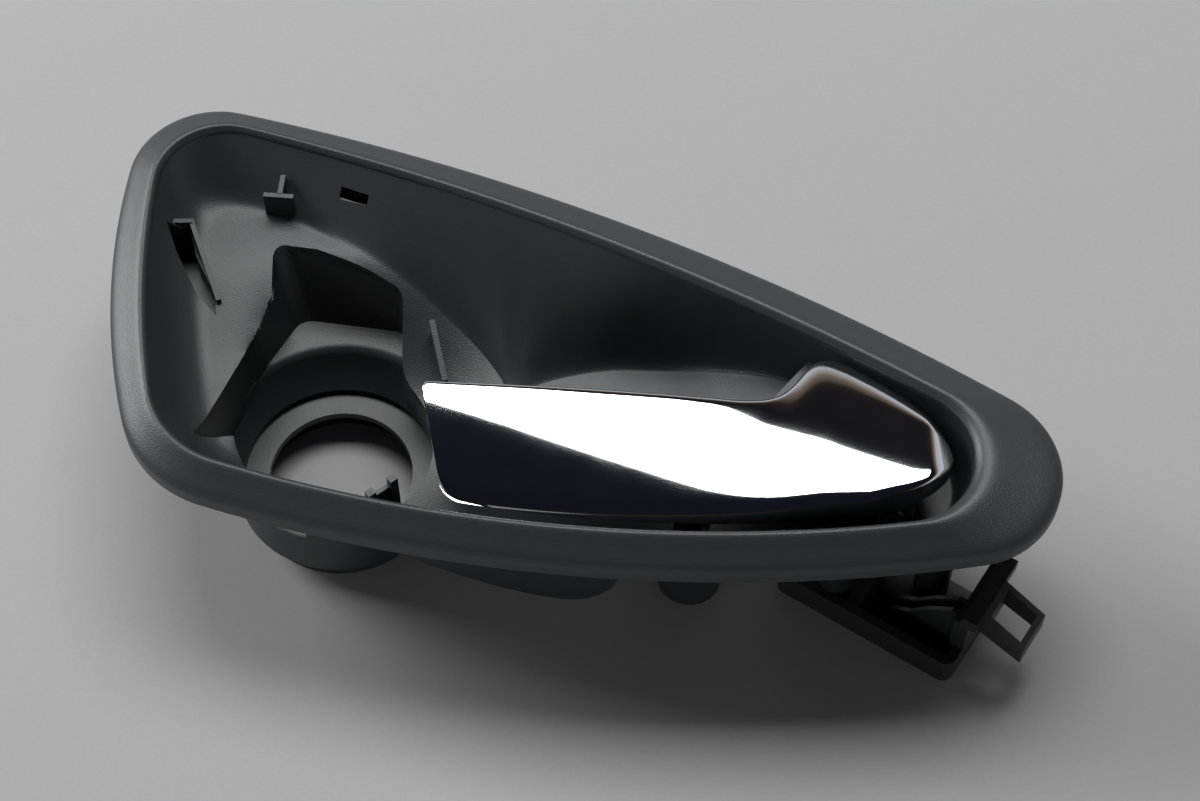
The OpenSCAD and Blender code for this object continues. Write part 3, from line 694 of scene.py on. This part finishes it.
for piece in (*posts, stop_post):
    moulded_on(piece)

# The bezel has all its openings now
bpy.data.objects.remove(below_bowl)
moulded_on(bezel)

# Plated lever
# The pull lever is a thin moulded plastic shell, plated with copper, nickel and chrome. It is
# crowned, its left end is cut off square, and its hinge end follows the rim. It snaps over the
# carrier.

# Bright chrome: a mirror, with a faint slow haze about 8 mm wide from the polished moulding
chrome, tree, shader = new_material("bright_chrome_plate")
position = add_node(tree, "ShaderNodeTexCoord").outputs["Object"]
haze = add_node(tree, "ShaderNodeTexNoise", Vector=position, Scale=cells(8.3333), Detail=2.0)
rough = add_node(tree, "ShaderNodeMapRange", Value=haze.outputs["Fac"], To_Min=0.03, To_Max=0.06)
tree.links.new(rough.outputs["Result"], shader.inputs["Roughness"])
shader.inputs["Base Color"].default_value = srgb("#e4e5e8")
shader.inputs["Metallic"].default_value = 1.0

LEVER_X0 = -36.2
LEVER_X1 = 93.8
LEVER_GAP = 5.3
PLATE_T = 1.8
SHELL_FOOT = HINGE[2] + LUG_R + 0.4
# The hinge end rolls down about the pin, and the left end slants in plan
END_ROUND = 15.6
END_SLANT = 0.19
NEAR_CORNER, FAR_CORNER = 5, 2.2
# The crown is RIDGE_R round across its ridge, up to the steepest slope of each side
RIDGE_R = 134
RIDGE_START = (-37, -1.4)
RIDGE_SLANT = -0.42
STEEPEST = 0.17
STEEPEST_ON_HUMP = 0.115
# Heights of the crown from the rim's crest, and what it gains at the hump and loses at the left
CROWN = -0.5
HUMP_GAIN = 1.9
LEFT_LOSS = 1.2
# Depths of the rounding along the near edge, the far edge and the hump's far edge
NEAR_ROUNDING, FAR_ROUNDING, HUMP_ROUNDING = 0.9, 0.5, 1.9
# The far edge runs straight to FAR_STRAIGHT_X1, dips, and swells into the thumb hump
FAR_STRAIGHT_X1 = 20
FAR_STRAIGHT_Y = -13.8
FAR_STRAIGHT_SLOPE = -0.086
FAR_HUMP = (
    (20, -18.6), (34, -19.8), (43.6, -20.3), (48.5, -19.8), (52.2, -18.0), (55.6, -14.3),
    (58.6, -10.0), (61, -7.7), (63.4, -7.0), (67.9, -8.2), (73.5, -11.6), (79.4, -15.9),
    (84.6, -20.4), (89.2, -25.1), (91.8, -29), (93.2, -32.4), (93.8, -36.2),
)
NEAR_TIP_X0 = 72
NEAR_TIP = (
    (72, near_arc(72, LEVER_GAP)), (77.5, -48.8), (83, -47.0), (87.6, -44.5), (91, -41.6), (93, -38.8),
    (93.8, -36.2),
)


def through(points, x):
    """Height at x of a smooth curve through points in order of x."""
    xs, ys = np.array(points, float).T
    slopes = np.gradient(ys, xs)
    k = int(np.clip(np.searchsorted(xs, x) - 1, 0, len(xs) - 2))
    h = xs[k + 1] - xs[k]
    t = min(1.0, max(0.0, (x - xs[k]) / h))
    return ((1 + 2 * t) * (1 - t) ** 2 * ys[k] + t * (1 - t) ** 2 * h * slopes[k]
            + t * t * (3 - 2 * t) * ys[k + 1] - t * t * (1 - t) * h * slopes[k + 1])


def near_edge(x):
    """Y of the lever's near edge."""
    return near_arc(x, LEVER_GAP) if x < NEAR_TIP_X0 else through(NEAR_TIP, x)


def far_edge(x):
    """Y of the lever's far edge."""
    straight = FAR_STRAIGHT_Y + FAR_STRAIGHT_SLOPE * (x - LEVER_X0)
    return straight if x < FAR_STRAIGHT_X1 else through(FAR_HUMP, x)


def crown_height(x):
    """Height of the lever's ridge, which rolls down over the pin at the hinge end."""
    roll = HINGE[2] + math.sqrt(max(0.0, END_ROUND**2 - max(0.0, x - HINGE[0]) ** 2))
    gain = HUMP_GAIN * ramp(x, 40, 65) - LEFT_LOSS * ramp(x, LEVER_X0 + 45, LEVER_X0 - 15)
    return min(CREST + CROWN + gain, roll)


def sag(x, y, v):
    """Depth of the surface below its ridge, which crosses the lever from far left to near right."""
    across = y - (RIDGE_START[1] + RIDGE_SLANT * (x - RIDGE_START[0]))
    hump = ramp(x, 45, 65)
    steepest = mix(STEEPEST, STEEPEST_ON_HUMP, hump) if across > 0 else STEEPEST
    level = steepest * RIDGE_R
    fall = across**2 / (2 * RIDGE_R) if abs(across) < level else steepest * (abs(across) - level / 2)
    if across > 0:
        fall *= ramp(x, 15, 50)
    if v > 0:
        return fall + mix(FAR_ROUNDING * v**30, HUMP_ROUNDING * max(0.0, 2 * v - 1) ** 2, hump)
    return fall + NEAR_ROUNDING * v**14


def corner_inset(d, radius):
    """How far a round corner draws the edge in, at d from the end."""
    return radius - math.sqrt(radius**2 - (radius - d) ** 2) if d < radius else 0.0


# The block never gets narrower or lower than this
LEAST_HALF_WIDTH = 0.4
LEAST_HEIGHT = 0.3


def lever_form(name, inset, base, material, across=48):
    """The lever's crowned block, set in by inset, with its base at height base."""
    span = LEVER_X1 - LEVER_X0
    # Sections along the lever, closest together at its rounded ends
    stations = [0, 0.06, 0.2, 0.5, 1, 1.6, 2.4, 3.3, 4.2, 5]
    stations += [5 + (span - 10) * k / 100 for k in range(1, 100)]
    stations += [span - d for d in (5, 4.2, 3.4, 2.7, 2.1, 1.6, 1.15, 0.8, 0.5, 0.3, 0.15, 0.06)]
    squeeze = (span - 2 * inset) / span
    vs = [math.sin(math.pi * (k / across - 0.5)) for k in range(across + 1)]
    rings = []
    for d in stations:
        x = LEVER_X0 + inset + d * squeeze
        dx = x - LEVER_X0
        y0 = near_edge(x) + corner_inset(dx, NEAR_CORNER) + inset
        y1 = far_edge(x) - corner_inset(dx, FAR_CORNER) - inset
        mid, half = (y0 + y1) / 2, max(LEAST_HALF_WIDTH, (y1 - y0) / 2)
        slant = END_SLANT * (1 - ramp(dx, 0, 50)) * half
        ring = [(x - slant, mid + half, base), (x + slant, mid - half, base)]
        for v in vs:
            y = mid + v * half
            top = crown_height(x) - sag(x, y, v) - inset
            ring.append((x - slant * v, y, max(base + LEAST_HEIGHT, top)))
        rings.append(ring)
    n, m = len(rings[0]), len(rings)
    faces = [tuple(range(n)), tuple((m - 1) * n + k for k in range(n))[::-1]]
    for low in range(0, (m - 1) * n, n):
        high = low + n
        faces += [(low + i, high + i, high + (i + 1) % n, low + (i + 1) % n) for i in range(n)]
    return mesh_object(name, [p for ring in rings for p in ring], faces, material)


lever = lever_form("lever_plating", 0, SHELL_FOOT, chrome)
carve(lever, lever_form("inside", PLATE_T, SHELL_FOOT - 6, chrome))
finish_edges(lever, 40)
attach(lever, "lever")
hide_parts("lever_shell")

# Lever carrier
# A stiff core fills the plated shell. Two ears hang from it and turn on the hinge pin, and an
# arm below the far ear pulls the release cable. It is one moulding, snapped into the shell.

# Glass-filled nylon: nearly black, with a faint swirl of fibres about 1.1 mm wide
nylon, tree, shader = new_material("glass_filled_black_nylon")
position = add_node(tree, "ShaderNodeTexCoord").outputs["Object"]
fibres = add_node(tree, "ShaderNodeTexNoise", Vector=position, Scale=cells(1.1111), Detail=3.0)
tint = add_node(tree, "ShaderNodeMix", {"data_type": "RGBA"}, Factor=fibres.outputs["Fac"],
                A=srgb("#1d1e20"), B=srgb("#2c2d2f"))
tree.links.new(tint.outputs["Result"], shader.inputs["Base Color"])
shader.inputs["Roughness"].default_value = 0.45
shader.inputs["IOR"].default_value = 1.53

CORE_GAP = 0.1
CORE_FOOT = SHELL_FOOT + 0.4
EAR_R = 4.4
EAR_T = 4.4
EAR_Y = (-8.2, 5.0)
EAR_TOP = CORE_FOOT + 1.0 - HINGE[2]
EAR_BORE_R = PIN_R + 0.05
ARM_R = 4
ARM_DROP = 28.0
CABLE_HOLE_R = 2

carrier = lever_form("lever_carrier_moulding", PLATE_T + CORE_GAP, CORE_FOOT, nylon)
ears = []
for y in EAR_Y:
    ear = rod("ear", EAR_R, 0, EAR_T, (0, y, 0), nylon, axis="Y")
    root = block("ear_root", (2 * EAR_R, EAR_T, EAR_TOP), (-EAR_R, y, 0), 0, nylon)
    ears.append(carve(ear, root, "UNION"))
near_ear, far_ear = ears
arm = rod("cable_arm", ARM_R, 0, EAR_T, (0, EAR_Y[1], -ARM_DROP), nylon, axis="Y")
carve(arm, block("arm_bar", (2 * ARM_R, EAR_T, ARM_DROP), (-ARM_R, EAR_Y[1], -ARM_DROP), 0, nylon), "UNION")
carve(far_ear, arm, "UNION")
carve(far_ear, rod("cable_hole", CABLE_HOLE_R, -1, 6, (0, EAR_Y[1], -ARM_DROP), nylon, axis="Y"))
for ear in ears:
    carve(ear, rod("pin_hole", EAR_BORE_R, -9, 12, (0, 0, 0), nylon, axis="Y"))
    ear.data.transform(HINGE_FRAME)
near_ear.name, far_ear.name = "near_ear", "far_ear_and_arm"
for part in (carrier, near_ear, far_ear):
    finish_edges(part)
    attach(part, "lever")
    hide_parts("lever_carrier")


# Cable bracket
# A tray with a bar and a square hoop holds the end of the cable's sheath. It is moulded in the
# same nylon as the carrier and screwed to the bosses, and its CAD form is shown as it is.
def coat(name, material):
    """Gives a CAD node its material."""
    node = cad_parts[name]
    for slot in node.material_slots:
        slot.material = material
    if not node.material_slots:
        node.data.materials.append(material)


coat("cable_bracket", nylon)

# Hinge pin, clip, spring and screws
# The pin is cold-headed at its near end and held by a clip, stamped from strip, at its far end.
# The return spring is wound from wire about it, and two screws hold the bracket. All are shown
# in their CAD form.

# Zinc-plated steel: a dull silver, slightly uneven in patches about 1.7 mm wide
steel, tree, shader = new_material("zinc_plated_steel")
position = add_node(tree, "ShaderNodeTexCoord").outputs["Object"]
wear = add_node(tree, "ShaderNodeTexNoise", Vector=position, Scale=cells(1.6667), Detail=2.0)
tint = add_node(tree, "ShaderNodeMix", {"data_type": "RGBA"}, Factor=wear.outputs["Fac"],
                A=srgb("#8d8f92"), B=srgb("#a5a7aa"))
tree.links.new(tint.outputs["Result"], shader.inputs["Base Color"])
shader.inputs["Metallic"].default_value = 1.0
shader.inputs["Roughness"].default_value = 0.3

for name in ("hinge_pin", "pin_clip", "return_spring", "bracket_screws"):
    coat(name, steel)

# Bump stop
# A small moulded rubber buffer is pushed into its post under the lever, and stops the lever's
# rattle. It is shown in its CAD form.

# Moulded rubber: black and dull, with a pale bloom in patches about 2 mm wide
rubber, tree, shader = new_material("black_rubber")
position = add_node(tree, "ShaderNodeTexCoord").outputs["Object"]
bloom = add_node(tree, "ShaderNodeTexNoise", Vector=position, Scale=cells(2), Detail=2.0)
tint = add_node(tree, "ShaderNodeMix", {"data_type": "RGBA"}, Factor=bloom.outputs["Fac"],
                A=srgb("#161616"), B=srgb("#1e1e1e"))
tree.links.new(tint.outputs["Result"], shader.inputs["Base Color"])
shader.inputs["Roughness"].default_value = 0.8

coat("bump_stop", rubber)
